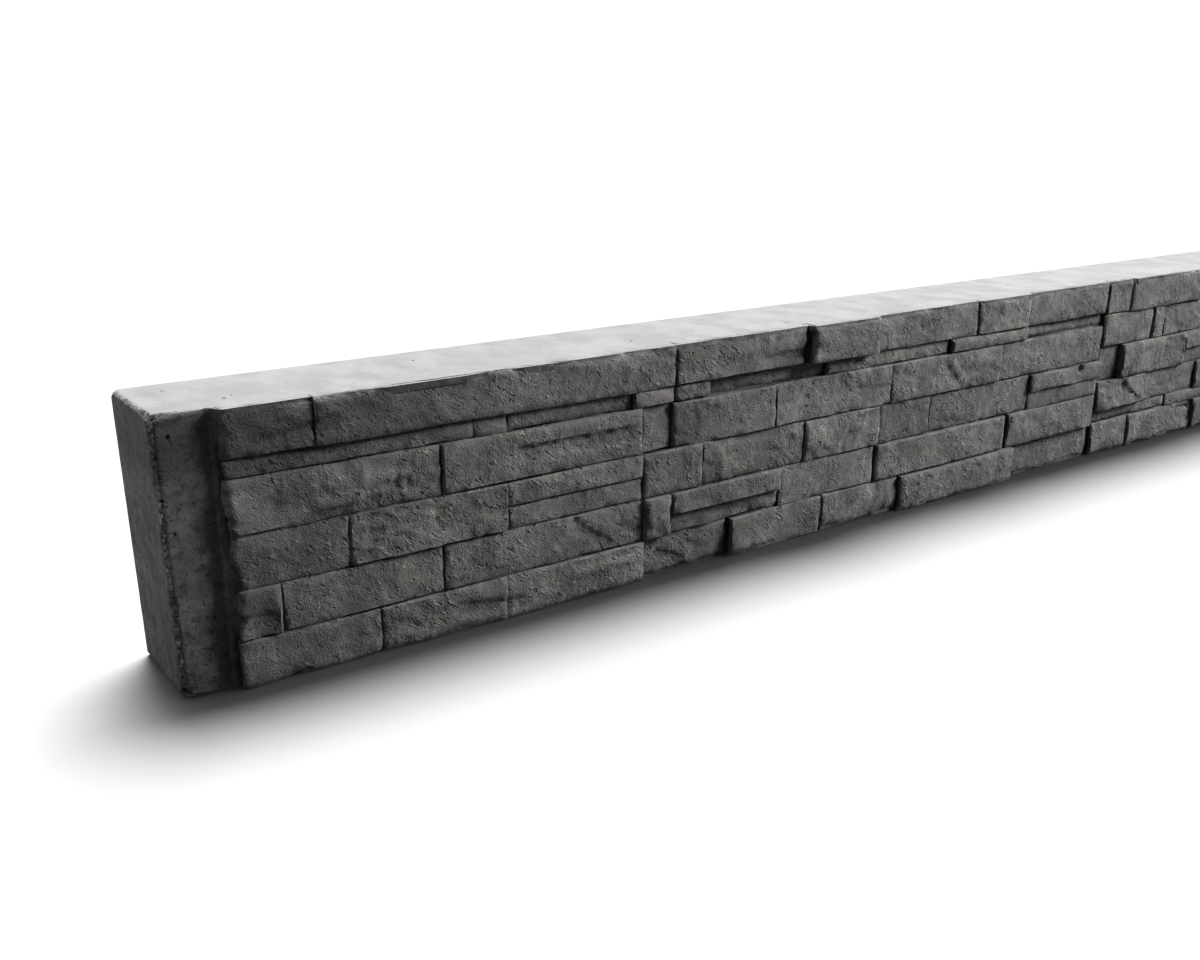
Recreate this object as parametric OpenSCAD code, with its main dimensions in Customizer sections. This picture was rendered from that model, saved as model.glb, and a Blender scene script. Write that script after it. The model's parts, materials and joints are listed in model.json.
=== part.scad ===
// Concrete retaining wall sleeper, cast in one piece and standing on its long edge.
// X runs along the sleeper, the stone face looks towards -Y and Z is up.
// The origin is the middle of the bed. All sizes are in millimetres.

/* [Sleeper] */
// Length of the sleeper
length = 2000; // [1200:10:3000]
// Height of the sleeper as it is laid in a wall
height = 200; // [180:1:260]
// Thickness of the plain end tabs, which slide into the channels of the posts
tab_thickness = 90; // [60:1:140]
// Width of each plain end tab, up to the foot of the step
tab_width = 38; // [25:1:90]
// Run of the sloped step between a tab and the stone face
step_run = 6; // [3:0.5:15]

/* [Stone face] */
// Length of the first stone panel: the second one fills the rest of the face
first_panel = 983; // [300:1:1000]
// Width of the joint between the two stone panels
panel_joint = 6; // [2:0.5:10]
// Stand of an average stone in front of the tabs
stone_stand = 10; // [9:0.5:16]
// Depth of the joints behind an average stone
joint_depth = 8; // [3:0.5:8]
// Width of a plain joint between two stones
joint_width = 1.4; // [1:0.1:4]
// Usual bevel along the arrises of a stone
stone_bevel = 0.8; // [0.4:0.1:3]
// Unevenness of the split face of a stone
cleft = 2; // [0:0.1:3]
// Usual length of one facet of a split face
facet_length = 40; // [20:1:80]
// Shortest stone that may end a course
least_stone = 30; // [15:1:60]
// Raggedness of the stones beside a tab
ragged_edge = 4; // [0:0.5:8]
// Width of the cracks across the stones
crack_width = 2; // [1:0.5:8]
// Depth of the cracks behind an average stone
crack_depth = 1; // [0:0.5:8]

/* [Edges] */
// Radius of the upright edges of the ends
end_radius = 4; // [2:0.5:15]
// Radius of the top and bottom edges of the ends
end_brow = 4; // [2:0.5:12]
// Radius of the long edges of the tabs and the back
long_radius = 4; // [1:0.5:10]

/* [Hidden] */
concrete = [0.36, 0.36, 0.36];
$fn = 48;
// How far the stones are rooted behind the floor of the joints
root_depth = 8;
// How far the lips of a crack stand in front of an average stone
crack_lip = 4;
// Starting numbers for the chance shapes of the stones of each panel
left_seed = 1000;
right_seed = 5000;

// A stone is [length, step, joint]: its length along the course, how far it steps forward of an
// average stone and the joint after it, where that is wider than a plain one. A stone that is split
// along its length goes on with [height of its lower half, step of its lower half].
// A course is [height, stones], and the courses of a panel run from the bed up.
// The top course fills what is left of the height.
left_panel = [
    [36, [[102, 0], [104, 1], [133, 3], [94, -4, 3], [110, 2, 5], [103, 0, 2], [177, 6], [136, -5]]],
    [37, [[28, 2, 2], [125, 0], [185, 1], [26, 4, 3], [125, 4, 2, 17, -2], [122, 0, 4],
          [197, 2, 7], [152, 1]]],
    [39, [[81, 1], [128, 2], [128, 3, 2, 19, 1], [61, 3], [121, 1], [99, 2], [71, 0],
          [159, -1, 2], [122, 4, 2, 20, 1]]],
    [39, [[155, 1, 2], [182, 2], [31, -2], [114, 2], [149, 1], [165, 3], [170, 0]]],
    [14, [[184, -2], [27, -1], [116, -2], [41, 1, 3], [36, 1, 3], [135, -5, 2], [170, -1, 3],
          [120, 3], [127, -5]]],
    [35, [[61, 1], [309, 3, 3], [146, 2, 7], [83, 8], [147, 2], [83, 3], [130, 1]]],
];
right_panel = [
    [38, [[69, -1], [56, 2], [82, 0], [140, 3, 4], [110, -2], [165, 4, 4], [95, 1], [120, -1]]],
    [14, [[146, -3, 3], [110, 0], [60, 2], [150, -4, 5], [90, 1], [175, -2], [70, 3]]],
    [34, [[93, 2], [111, -1], [160, 1, 4], [80, 4], [150, 0], [70, -2, 5], [180, 2]]],
    [40, [[36, -4], [131, 3], [126, 2, 2, 19, -3], [45, 1], [165, -1, 4], [110, 3], [150, 1], [75, -2]]],
    [37, [[94, 0], [22, 1, 3], [117, -1], [170, 2, 4], [70, -3], [135, 3], [60, 0], [160, 1]]],
    [37, [[42, 0, 2], [149, 3], [101, -1, 4], [190, 1], [70, 6], [130, 0, 6], [160, 2]]],
];

// A crack is [from the start of its panel, above the bed, length, slope in degrees]:
// the place of its upper end, and how it runs from there
left_cracks = [[274, 68, 43, -34], [719, 141, 34, -43]];
right_cracks = [[42, 83, 52, -32], [26, 104, 18, -60]];

// Steps of all stones of a panel
function steps(panel) = [for (course = panel) for (stone = course[1]) stone[1]];

proudest = max(concat(steps(left_panel), steps(right_panel)));
overall = tab_thickness + stone_stand + proudest;
back_y = overall / 2;
tab_y = back_y - tab_thickness;
joint_floor = stone_stand - joint_depth;
root = joint_floor - root_depth;
face_start = tab_width + step_run - length / 2;
face_stop = -face_start;
seam_start = min(face_start + first_panel, face_stop - panel_joint - least_stone);
seam_stop = seam_start + panel_joint;

// Y of a point that stands in front of the tabs
function forward(stand) = tab_y - stand;

function joint_after(stone) = is_undef(stone[2]) ? joint_width : max(joint_width, stone[2]);

// Height of the foot of course c above the bed
function course_foot(panel, c) = c == 0 ? 0 : course_foot(panel, c - 1) + panel[c - 1][0];

// Places of the stones of a course as [start, stop, number]: the list repeats until the course is full
function laid(stones, start, end, i = 0) =
    let (
        stone = stones[i % len(stones)],
        stop = start + stone[0],
        next = stop + joint_after(stone)
    )
    next + least_stone > end
        ? [[start, end, i]]
        : concat([[start, stop, i]], laid(stones, next, end, i + 1));

// Rectangle from low to high with rounded corners
module rounded(low, high, radius) {
    size = high - low;
    translate(low + [radius, 0]) square([size.x - 2 * radius, size.y]);
    translate(low + [0, radius]) square([size.x, size.y - 2 * radius]);
    for (x = [low.x + radius, high.x - radius], y = [low.y + radius, high.y - radius])
        translate([x, y]) circle(radius);
}

// Extrudes a section drawn in Y and Z along X
module along(start, stop)
    translate([start, 0, 0]) rotate([90, 0, 90]) linear_extrude(stop - start) children();

// Plain cast plate as thick as the tabs, with rounded edges all round
module plate() {
    half = length / 2;
    intersection() {
        along(-half, half) rounded([tab_y, 0], [back_y, height], long_radius);
        linear_extrude(height) rounded([-half, tab_y], [half, back_y], end_radius);
        translate([0, back_y, 0]) rotate([90, 0, 0]) linear_extrude(tab_thickness)
            rounded([-half, 0], [half, height], end_brow);
    }
}

// Bed that carries the stones: the floor of the joints, with a sloped step down to each tab
module bed() {
    foot = length / 2 - tab_width;
    middle = tab_y + tab_thickness / 2;
    linear_extrude(height) polygon([
        [-foot, middle], [-foot, tab_y], [face_start, forward(joint_floor)],
        [face_stop, forward(joint_floor)], [foot, tab_y], [foot, middle]
    ]);
}

// One stone: its plan is broken into facets along the course, and its side has a belly
module stone(start, stop, foot, head, stand, seed) {
    facets = max(2, min(5, round((stop - start) / facet_length)));
    peak = min(facets, floor(rands(0, facets + 1, 1, seed)[0]));
    dips = rands(0, cleft, facets + 1, seed + 1);
    lean = rands(0, cleft, 2, seed + 2);
    belly = foot + (head - foot) * rands(0.3, 0.7, 1, seed + 3)[0];
    bevel = stone_bevel * rands(0.6, 1.4, 1, seed + 4)[0];
    flat = stop - start - 2 * bevel;
    shoulder = forward(stand - cleft - bevel);
    plan = concat(
        [[start, forward(root)], [start, shoulder]],
        [for (i = [0:facets])
            [start + bevel + flat * i / facets, forward(stand - (i == peak ? 0 : dips[i]))]],
        [[stop, shoulder], [stop, forward(root)]]
    );
    side = [
        [forward(root), foot], [shoulder, foot], [forward(stand - lean[0]), foot + bevel],
        [forward(stand), belly],
        [forward(stand - lean[1]), head - bevel], [shoulder, head], [forward(root), head]
    ];
    intersection() {
        translate([0, 0, foot]) linear_extrude(head - foot) polygon(plan);
        along(start, stop) polygon(side);
    }
}

// Courses of stones from start to stop, with their ends drawn in unevenly beside a tab
module panel(courses, start, stop, ragged_start, ragged_stop, seed) {
    last = len(courses) - 1;
    for (c = [0:last]) {
        stones = courses[c][1];
        foot = course_foot(courses, c) + (c == 0 ? 0 : joint_width / 2);
        head = c == last ? height : course_foot(courses, c + 1) - joint_width / 2;
        inset = rands(0, ragged_edge, 2, seed + c);
        places = laid(stones, start, stop);
        for (place = places) {
            s = stones[place[2] % len(stones)];
            from = place[0] + (place[2] == 0 ? ragged_start * inset[0] : 0);
            to = place[1] - (place[2] == len(places) - 1 ? ragged_stop * inset[1] : 0);
            split = is_undef(s[3]) ? foot : foot + s[3];
            number = seed + 100 * c + 10 * place[2];
            if (split > foot)
                stone(from, to, foot, split - joint_width, stone_stand + s[4], number + 5);
            stone(from, to, split, head, stone_stand + s[1], number);
        }
    }
}

// V-shaped cracks of a panel that starts at start
module cracks(list, start) {
    top = stone_stand + proudest;
    floor_stand = stone_stand - crack_depth;
    for (c = list)
        translate([start + c[0], 0, c[1]]) rotate([0, -c[3], 0]) along(0, c[2])
            polygon([
                [forward(floor_stand), 0], [forward(stone_stand + crack_lip), crack_width / 2],
                [forward(top), crack_width / 2], [forward(top), -crack_width / 2],
                [forward(stone_stand + crack_lip), -crack_width / 2]
            ]);
}

module sleeper() {
    color(concrete) difference() {
        union() {
            plate();
            bed();
            panel(left_panel, face_start, seam_start, 1, 0, left_seed);
            panel(right_panel, seam_stop, face_stop, 0, 1, right_seed);
        }
        cracks(left_cracks, face_start);
        cracks(right_cracks, seam_stop);
    }
}

sleeper();
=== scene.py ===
# %% [markdown]
# # A concrete sleeper with a stacked-stone face
# The object is one piece of charcoal concrete, cast in a mould whose front was taken from a wall of split
# stones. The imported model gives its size, its stones and its joints. This lesson gives it what the mould and
# the weather gave the real one: split and chipped stones, worn edges, small air holes and an uneven charcoal
# colour.

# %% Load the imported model
import json
import math
import bmesh
import bpy
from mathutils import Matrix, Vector


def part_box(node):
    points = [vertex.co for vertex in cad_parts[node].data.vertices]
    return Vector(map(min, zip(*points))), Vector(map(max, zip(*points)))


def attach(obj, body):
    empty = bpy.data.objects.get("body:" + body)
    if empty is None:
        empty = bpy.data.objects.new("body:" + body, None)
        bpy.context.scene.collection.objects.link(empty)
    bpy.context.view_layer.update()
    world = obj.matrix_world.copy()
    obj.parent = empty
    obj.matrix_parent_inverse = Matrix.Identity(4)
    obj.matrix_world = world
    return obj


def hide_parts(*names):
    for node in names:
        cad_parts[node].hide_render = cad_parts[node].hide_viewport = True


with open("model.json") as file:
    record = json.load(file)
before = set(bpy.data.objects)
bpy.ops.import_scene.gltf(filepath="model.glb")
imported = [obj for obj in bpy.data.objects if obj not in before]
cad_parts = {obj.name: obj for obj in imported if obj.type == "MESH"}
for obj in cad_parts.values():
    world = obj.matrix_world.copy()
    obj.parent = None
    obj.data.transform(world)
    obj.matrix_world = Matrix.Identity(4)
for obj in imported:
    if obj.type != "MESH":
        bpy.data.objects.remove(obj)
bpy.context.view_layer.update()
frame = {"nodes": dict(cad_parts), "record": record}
MM = 0.001

sleeper_low, sleeper_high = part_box("sleeper")
mounts = {mount["name"]: mount for mount in frame["record"]["mounts"]}
tab_y = mounts["left_tab"]["pos_m"][1]
back_y = sleeper_high.y
end_x = sleeper_high.x
top_z = sleeper_high.z
print("sleeper", [round(size / MM) for size in sleeper_high - sleeper_low], "mm, tabs at y", tab_y / MM)

# %% [markdown]
# ## The camera
# A photograph can be matched by eye, or by solving for the camera from straight edges whose real size is
# known. The sleeper has long straight edges, so the second way was used. It gave the place of the lens, the
# point it looks at and the focal length, which are the values here.

# %% Place the camera
CAMERA_PLACE = Vector((-1.1857, -0.7837, 0.3880))
CAMERA_TARGET = Vector((-0.6324, -0.0084, 0.0836))
CAMERA_ROLL = math.radians(0.12)
FOCAL_LENGTH = 35.6
SENSOR_WIDTH = 36.0

camera = bpy.data.objects.new("camera", bpy.data.cameras.new("camera"))
bpy.context.collection.objects.link(camera)
camera.data.lens = FOCAL_LENGTH
camera.data.sensor_width = SENSOR_WIDTH
camera.data.clip_start = 0.01
camera.location = CAMERA_PLACE
camera.rotation_euler = (CAMERA_TARGET - CAMERA_PLACE).to_track_quat("-Z", "Y").to_euler()
camera.rotation_euler.rotate_axis("Z", CAMERA_ROLL)
bpy.context.scene.camera = camera
print("camera", round((CAMERA_TARGET - CAMERA_PLACE).length, 3), "m from the point it looks at")

# %% [markdown]
# ## A short way to write node trees
# Geometry Nodes and materials are both trees of nodes. Made by hand in the editor they are quick to lay out,
# but in a script every link is a line. The small class below makes a node and fills its inputs in one call,
# so that the trees further on read like formulas.

# %% Helper for all node trees
class Tree:
    """A node tree that is written as nested calls"""

    def __init__(self, nodes):
        self.nodes = nodes

    def plug(self, socket, value):
        """Links a node or a socket to an input, or sets the input to a plain value"""
        if isinstance(value, bpy.types.Node):
            value = next(output for output in value.outputs if output.enabled)
        if isinstance(value, bpy.types.NodeSocket):
            self.nodes.links.new(value, socket)
        else:
            socket.default_value = value

    def add(self, kind, inputs=None, **settings):
        """Makes a node, with its settings first because they decide which inputs it has"""
        node = self.nodes.nodes.new(kind)
        for name, value in settings.items():
            setattr(node, name, value)
        for key, value in (inputs or {}).items():
            self.plug(node.inputs[key], value)
        return node

    def math(self, operation, *values):
        return self.add("ShaderNodeMath", dict(enumerate(values)), operation=operation).outputs[0]

    def plus(self, first, second):
        return self.math("ADD", first, second)

    def minus(self, first, second):
        return self.math("SUBTRACT", first, second)

    def times(self, first, second):
        return self.math("MULTIPLY", first, second)

    def lowered(self, level, factor, share):
        """A level that is lower by the given share where the factor is one"""
        return self.times(level, self.minus(1.0, self.times(factor, share)))

    def vector(self, operation, *values):
        node = self.add("ShaderNodeVectorMath", dict(enumerate(values)), operation=operation)
        return next(output for output in node.outputs if output.enabled)

    def scaled(self, vector, factor):
        return self.add("ShaderNodeVectorMath", {0: vector, "Scale": factor}, operation="SCALE").outputs[0]

    def xyz(self, x, y, z):
        return self.add("ShaderNodeCombineXYZ", {0: x, 1: y, 2: z}).outputs[0]

    def parts(self, vector):
        return self.add("ShaderNodeSeparateXYZ", {0: vector}).outputs

    def ramp(self, value, low, high, start=0.0, stop=1.0):
        """Smooth step from start to stop while the value goes from low to high"""
        inputs = {0: value, 1: low, 2: high, 3: start, 4: stop}
        return self.add("ShaderNodeMapRange", inputs, interpolation_type="SMOOTHSTEP").outputs[0]

    def noise(self, place, size, detail=2.0, roughness=0.5, distortion=0.0):
        """Soft noise about 0.5 whose lumps are about the given size in metres"""
        inputs = {"Vector": place, "Scale": 1 / size, "Detail": detail, "Roughness": roughness}
        return self.add("ShaderNodeTexNoise", inputs | {"Distortion": distortion}).outputs[0]

    def stray(self, place, size, span, detail=3):
        """Noise about zero, as a length that wanders over the given span"""
        return self.times(self.minus(self.noise(place, size, detail), 0.5), span)


print("trees are written as nested calls")

# %% Helper for Geometry Nodes
class GeometryTree(Tree):
    """A Geometry Nodes tree with named inputs"""

    def __init__(self, name, **inputs):
        super().__init__(bpy.data.node_groups.new(name, "GeometryNodeTree"))
        sockets = self.nodes.interface
        sockets.new_socket("Geometry", in_out="INPUT", socket_type="NodeSocketGeometry")
        sockets.new_socket("Geometry", in_out="OUTPUT", socket_type="NodeSocketGeometry")
        for title, kind in inputs.items():
            sockets.new_socket(title, in_out="INPUT", socket_type="NodeSocket" + kind)
        self.given = self.nodes.nodes.new("NodeGroupInput").outputs
        self.result = self.nodes.nodes.new("NodeGroupOutput").inputs[0]

    def here(self):
        return self.add("GeometryNodeInputPosition").outputs[0]

    def named(self, name, kind="FLOAT"):
        return self.add("GeometryNodeInputNamedAttribute", {"Name": name}, data_type=kind).outputs[0]

    def store(self, geometry, name, value, kind="FLOAT", selection=True):
        inputs = {"Geometry": geometry, "Selection": selection, "Name": name, "Value": value}
        settings = {"data_type": kind, "domain": "POINT"}
        return self.add("GeometryNodeStoreNamedAttribute", inputs, **settings).outputs[0]

    def place(self, geometry, position, selection=True):
        inputs = {"Geometry": geometry, "Selection": selection, "Position": position}
        return self.add("GeometryNodeSetPosition", inputs).outputs[0]

    def moved(self, geometry, **change):
        return self.add("GeometryNodeTransform", {"Geometry": geometry} | change).outputs[0]

    def object(self, socket):
        info = self.add("GeometryNodeObjectInfo", {0: socket}, transform_space="RELATIVE")
        return info.outputs["Geometry"]

    def chance(self, low, high, seed, number=None):
        """A random value for each element, or for each number"""
        inputs = {2: low, 3: high, "Seed": seed}
        if number is not None:
            inputs["ID"] = number
        return self.add("FunctionNodeRandomValue", inputs, data_type="FLOAT").outputs[1]

    def hit(self, target, start, direction):
        """First point that a ray meets on the target, and whether it meets any"""
        inputs = {"Target Geometry": target, "Source Position": start, "Ray Direction": direction}
        ray = self.add("GeometryNodeRaycast", inputs | {"Ray Length": 1.0})
        return ray.outputs["Hit Position"], ray.outputs["Is Hit"]

    def copies(self, points, shape, **inputs):
        """A copy of the shape on each point, as real faces"""
        instances = self.add("GeometryNodeInstanceOnPoints", {"Points": points, "Instance": shape} | inputs)
        return self.add("GeometryNodeRealizeInstances", {0: instances}).outputs[0]

    def join(self, *geometries):
        joined = self.add("GeometryNodeJoinGeometry")
        for geometry in geometries:
            self.plug(joined.inputs[0], geometry)
        return joined.outputs[0]

    def closed(self, sheet, front):
        """Closes a sheet into a solid, moves its front points to their place and marks them"""
        forward = {"Mesh": sheet, "Offset": (0, -1, 0), "Offset Scale": MM, "Individual": False}
        block = self.add("GeometryNodeExtrudeMesh", forward, mode="FACES")
        carved = self.place(block.outputs["Mesh"], front, block.outputs["Top"])
        carved = self.store(carved, "front", 1.0, selection=block.outputs["Top"])
        back = self.add("GeometryNodeFlipFaces", {"Mesh": sheet}).outputs[0]
        shell = {"Geometry": self.join(carved, back), "Distance": MM / 100}
        return self.add("GeometryNodeMergeByDistance", shell).outputs[0]

    def boolean(self, operation, first, *others):
        node = self.add("GeometryNodeMeshBoolean", operation=operation, solver="MANIFOLD")
        if operation == "DIFFERENCE":
            self.plug(node.inputs[0], first)
        else:
            others = (first, *others)
        for other in others:
            self.plug(node.inputs[1], other)
        return node.outputs[0]


print("trees of Geometry Nodes have named inputs")

# %% Helpers for pieces
def new_piece(name, mesh):
    piece = bpy.data.objects.new(name, mesh)
    bpy.context.collection.objects.link(piece)
    return piece


def apply_tree(piece, tree, **inputs):
    """Adds a Geometry Nodes modifier and sets its inputs by their sockets' identifiers"""
    modifier = piece.modifiers.new(tree.nodes.name, "NODES")
    modifier.node_group = tree.nodes
    for item in tree.nodes.interface.items_tree:
        if item.in_out == "INPUT" and item.name in inputs:
            modifier[item.identifier] = inputs[item.name]


def thin(piece, share):
    """Merges small faces, the flattest first, until the given share of them is left"""
    piece.modifiers.new("thin", "DECIMATE").ratio = share


def bake(piece):
    """Turns a piece and its modifiers into a plain mesh"""
    graph = bpy.context.evaluated_depsgraph_get()
    evaluated = piece.evaluated_get(graph)
    mesh = bpy.data.meshes.new_from_object(evaluated, preserve_all_data_layers=True, depsgraph=graph)
    piece.modifiers.clear()
    piece.data = mesh
    mesh.calc_loop_triangles()
    print(piece.name, "has", len(mesh.vertices), "points and", len(mesh.loop_triangles), "triangles")
    return mesh


print("pieces are made, shaped by a tree, thinned and baked")

# %% [markdown]
# ## Finding the stones
# The stones could be listed again by hand, but then a change to the model would leave the looks behind. The
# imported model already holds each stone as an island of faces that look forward, with a joint all round it.
# So the islands are collected from a merged copy of the model, and each one becomes a point that knows its
# stone's size and stand.

# %% Copy the model and find its islands
FACING = 0.2
JOINT_FLOOR = 2 * MM
floor_y = tab_y - JOINT_FLOOR

solid = bmesh.new()
solid.from_mesh(frame["nodes"]["sleeper"].data)
bmesh.ops.remove_doubles(solid, verts=solid.verts, dist=MM / 100)
solid_mesh = bpy.data.meshes.new("plain_solid")
solid.to_mesh(solid_mesh)
plain_solid = new_piece("plain_solid", solid_mesh)


def islands(faces):
    """Groups faces that share edges"""
    left = set(faces)
    while left:
        island = [left.pop()]
        for face in island:
            around = {other for edge in face.edges for other in edge.link_faces} & left
            left -= around
            island.extend(around)
        yield island


forward = [
    face for face in solid.faces
    if face.normal.y < -FACING and face.calc_center_median().y < floor_y - 0.1 * MM
]
print(len(forward), "of", len(solid.faces), "faces look forward from the joints")

# %% One point for each stone
stones = []
for island in islands(forward):
    points = [vert.co for face in island for vert in face.verts]
    low = Vector(map(min, zip(*points)))
    high = Vector(map(max, zip(*points)))
    area = sum(face.calc_area() for face in island)
    stand = sum(face.calc_center_median().y * face.calc_area() for face in island) / area
    stones.append((low.x, low.z, high.x, high.z, stand))
stones.sort()
solid.free()
stone_stop = max(abs(stone[0]) for stone in stones)

stone_mesh = bpy.data.meshes.new("stones")
centres = [((left + right) / 2, stand, (foot + head) / 2) for left, foot, right, head, stand in stones]
sizes = [(right - left, 0, head - foot) for left, foot, right, head, stand in stones]
stone_mesh.from_pydata(centres, [], [])
size_data = stone_mesh.attributes.new("size", "FLOAT_VECTOR", "POINT").data
size_data.foreach_set("vector", [number for size in sizes for number in size])
stone_mesh.attributes.new("number", "INT", "POINT").data.foreach_set("value", range(len(stones)))
stone_faces = new_piece("stone_faces", stone_mesh)
print(len(stones), "stones, the longest", round(max(size[0] for size in sizes) / MM), "mm long")

# %% [markdown]
# ## Splitting the stones
# A split stone is nearly flat, with shallow terraces where the split jumped from one layer to the next, a
# grainy skin and crisp arrises with a chip here and there. Sculpting over a hundred stones by hand would
# take days, and one noise over the whole wall would run on from stone to stone. So two functions give the
# relief and the wear at any point, and most of their noise starts at another place for each stone.

# %% Relief of a split stone
HOLLOW_SIZE, HOLLOW_DEPTH = 55 * MM, 3.5 * MM
TERRACE_SIZE, TERRACE_STEP, TERRACES = 44 * MM, 1.5 * MM, 8.0
SCALLOP_SIZE, SCALLOP_DEPTH = 16 * MM, 1.6 * MM
GRAIN_SIZE, GRAIN_DEPTH = 6 * MM, 1.2 * MM
SPLIT_LOSS = 0.7 * MM


def split_relief(tree, place, bold):
    """How far a point stands forward of its stone's plain face, in metres"""
    layered = tree.vector("MULTIPLY", place, (0.45, 1.0, 1.0))
    hollow = tree.minus(tree.noise(layered, HOLLOW_SIZE, detail=1), 0.5)
    layers = tree.times(tree.noise(layered, TERRACE_SIZE, detail=3, distortion=0.5), TERRACES)
    terrace = tree.plus(tree.math("FLOOR", layers), tree.ramp(tree.math("FRACT", layers), 0.4, 0.6))
    terrace = tree.minus(terrace, TERRACES / 2)
    scallop = tree.noise(place, SCALLOP_SIZE, detail=3, roughness=0.6, distortion=0.5)
    scallop = tree.minus(scallop, 0.5)
    grain = tree.minus(tree.noise(place, GRAIN_SIZE, detail=3, roughness=0.6), 0.5)
    relief = tree.times(hollow, tree.times(bold, HOLLOW_DEPTH))
    relief = tree.plus(relief, tree.times(terrace, tree.times(bold, TERRACE_STEP)))
    relief = tree.plus(relief, tree.times(scallop, tree.times(tree.plus(bold, 0.4), SCALLOP_DEPTH)))
    return tree.minus(tree.plus(relief, tree.times(grain, GRAIN_DEPTH)), SPLIT_LOSS)


print("relief of a stone: hollows, terraces, scallops and grain")

# %% Worn edges of a stone
ROUNDING = 4 * MM
CHIP_WIDTHS = (0.4 * MM, 4.5 * MM)
CHIP_DEPTHS = (0.2 * MM, 1.1 * MM)
BROW_HEIGHT, BROW_DEPTH = 3 * MM, 1.5 * MM
FOOT_HEIGHT, FOOT_DEPTH = 8 * MM, 2.5 * MM


def worn_edges(tree, place, here, edge):
    """How far a point near the border of its stone, or near the top, bed or tabs, is worn back"""
    along, _, up = tree.parts(here)
    from_tab = tree.minus(stone_stop, tree.math("ABSOLUTE", along))
    from_tab = tree.plus(from_tab, tree.stray(here, 9 * MM, 8 * MM))
    rounding = tree.math("POWER", tree.ramp(from_tab, 5 * MM, -3 * MM), 2.0)
    width = tree.ramp(tree.noise(place, 13 * MM, detail=3), 0.5, 0.74, *CHIP_WIDTHS)
    chip = tree.ramp(tree.math("DIVIDE", edge, width), 0.0, 1.0, 1.0, 0.0)
    depth = tree.ramp(tree.noise(here, 24 * MM, detail=2), 0.36, 0.64, *CHIP_DEPTHS)
    from_ends = tree.math("MINIMUM", up, tree.minus(top_z, up))
    rough = tree.plus(0.5, tree.noise(here, 12 * MM, detail=3))
    brow = tree.times(tree.ramp(from_ends, BROW_HEIGHT, 0.0), tree.times(rough, BROW_DEPTH))
    foot = tree.ramp(tree.noise(here, 45 * MM, detail=3), 0.42, 0.66, 0.0, FOOT_DEPTH)
    foot = tree.times(tree.ramp(up, FOOT_HEIGHT, 0.0), foot)
    worn = tree.plus(tree.times(chip, depth), tree.plus(brow, foot))
    return tree.plus(worn, tree.times(rounding, ROUNDING))


print("worn edges of a stone: chips, brow, foot and the side towards a tab")

# %% [markdown]
# ## Marks of single stones
# Some stones have marks of their own in the photograph: a flake that ends along a ragged line, a crack or a
# shallow dish. Noise can't put them in their place, and a sculpted mesh couldn't be read in a script. So
# each mark is a short row of round numbers, and a function adds all of them to the relief.

# %% Flakes and dishes
# A flake is (x, z, half its length, half its height, slope in degrees, jump), and a dish is
# (x, z, radius, depth), in millimetres. Above the line of a flake the stone stands forward by the jump, or
# back where the jump is below zero.
FLAKES = (
    (-680, 138, 66, 15, 0, 3.0), (-580, 17, 22, 12, -25, 1.1), (-655, 27, 40, 9, 0, -2.0),
    (-870, 121, 34, 11, 4, 2.5), (-845, 131, 22, 10, 3, 2.0), (-597, 55, 16, 15, 45, 2.5),
    (-345, 108, 18, 9, 8, 2.5), (-905, 182, 30, 14, 12, 2.0), (-760, 20, 36, 14, -8, 2.0),
    (-450, 180, 40, 12, 3, 2.5), (-250, 20, 30, 14, 30, 3.0), (-664, 56, 28, 12, -34, 1.3),
    (-225, 129, 24, 10, -43, 1.3), (97, 69, 28, 10, -32, 1.6),
)
DISHES = ((-939, 46, 12, 1.4), (-9, 108, 6, 3.0))


def flake(tree, here, ragged, x, z, length, height, slope, jump):
    """A step across a slanting line, which fades out towards its ends and away from the line"""
    cosine = math.cos(math.radians(slope))
    sine = math.sin(math.radians(slope))
    offset = tree.vector("SUBTRACT", here, (x * MM, 0, z * MM))
    on_line = tree.math("ABSOLUTE", tree.vector("DOT_PRODUCT", offset, (cosine, 0, sine)))
    above = tree.plus(tree.vector("DOT_PRODUCT", offset, (-sine, 0, cosine)), ragged)
    window = tree.ramp(on_line, length * MM, 0.7 * length * MM)
    sides = tree.ramp(tree.math("ABSOLUTE", above), height * MM, 0.6 * height * MM)
    step = tree.ramp(above, -1 * MM, 1 * MM, -jump * MM / 2, jump * MM / 2)
    return tree.times(tree.times(window, sides), step)


def dish(tree, here, x, z, radius, depth):
    """Depth of a shallow round hollow"""
    along, _, up = tree.parts(here)
    offset = tree.vector("SUBTRACT", tree.xyz(along, 0, up), (x * MM, 0, z * MM))
    away = tree.vector("LENGTH", offset)
    return tree.ramp(away, radius * MM, 0.6 * radius * MM, 0.0, depth * MM)


def single_marks(tree, here):
    """How far a point stands forward because of the flakes and dishes"""
    ragged = tree.stray(here, 7 * MM, 4 * MM)
    total = 0.0
    for mark in FLAKES:
        total = tree.plus(total, flake(tree, here, ragged, *mark))
    for mark in DISHES:
        total = tree.minus(total, dish(tree, here, *mark))
    return total


print(len(FLAKES), "flakes and", len(DISHES), "dishes")

# %% [markdown]
# ## A sheet over each stone
# Every stone needs a face of its own with a crisp border. One grid over the whole wall would smear the
# borders, and a hundred separate pieces would be slow to handle. So a For Each zone makes a fine sheet in the
# size of each stone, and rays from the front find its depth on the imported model.

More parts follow.
